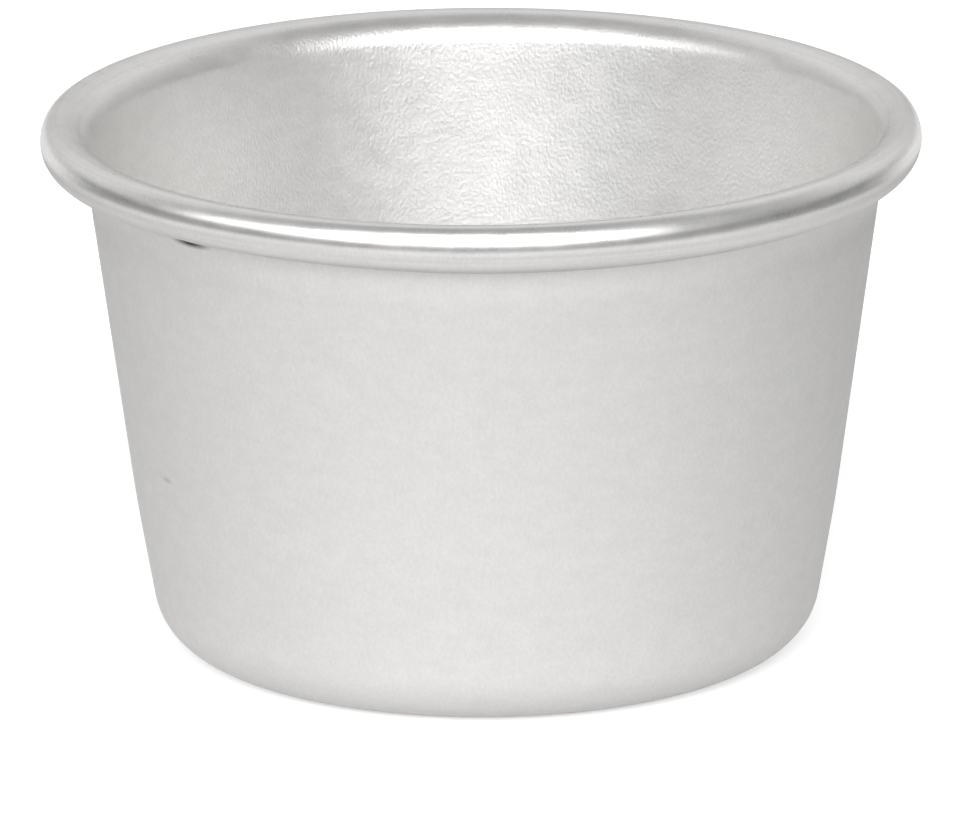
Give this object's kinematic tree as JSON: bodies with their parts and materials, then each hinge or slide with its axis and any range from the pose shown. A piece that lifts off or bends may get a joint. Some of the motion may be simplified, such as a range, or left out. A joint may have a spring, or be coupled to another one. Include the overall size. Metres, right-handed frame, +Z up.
{
  "type": "dariole mould",
  "caption": "Small round tapered aluminium baking mould with a flat base, a rounded foot and an outward rolled, wired rim, for single puddings, cakes and custards.",
  "frame": {"origin": "centre of the flat underside of the base, on the surface that the mould stands on", "axes": "+Z up along the axis of the mould, from the base to the mouth; X and Y lie in the plane of the base, and the round mould looks the same along both"},
  "size_m": [0.08, 0.08, 0.0492],
  "materials": {
    "mould_sheet": "plain drawn aluminium: matt grey outside, brighter and lightly grained inside, burnished on the bead",
    "rim_wire": "dull galvanised wire"
  },
  "bodies": {
    "root": {"drawn_cup": "mould_sheet", "rim_wire": "rim_wire"}
  },
  "joints": []
}
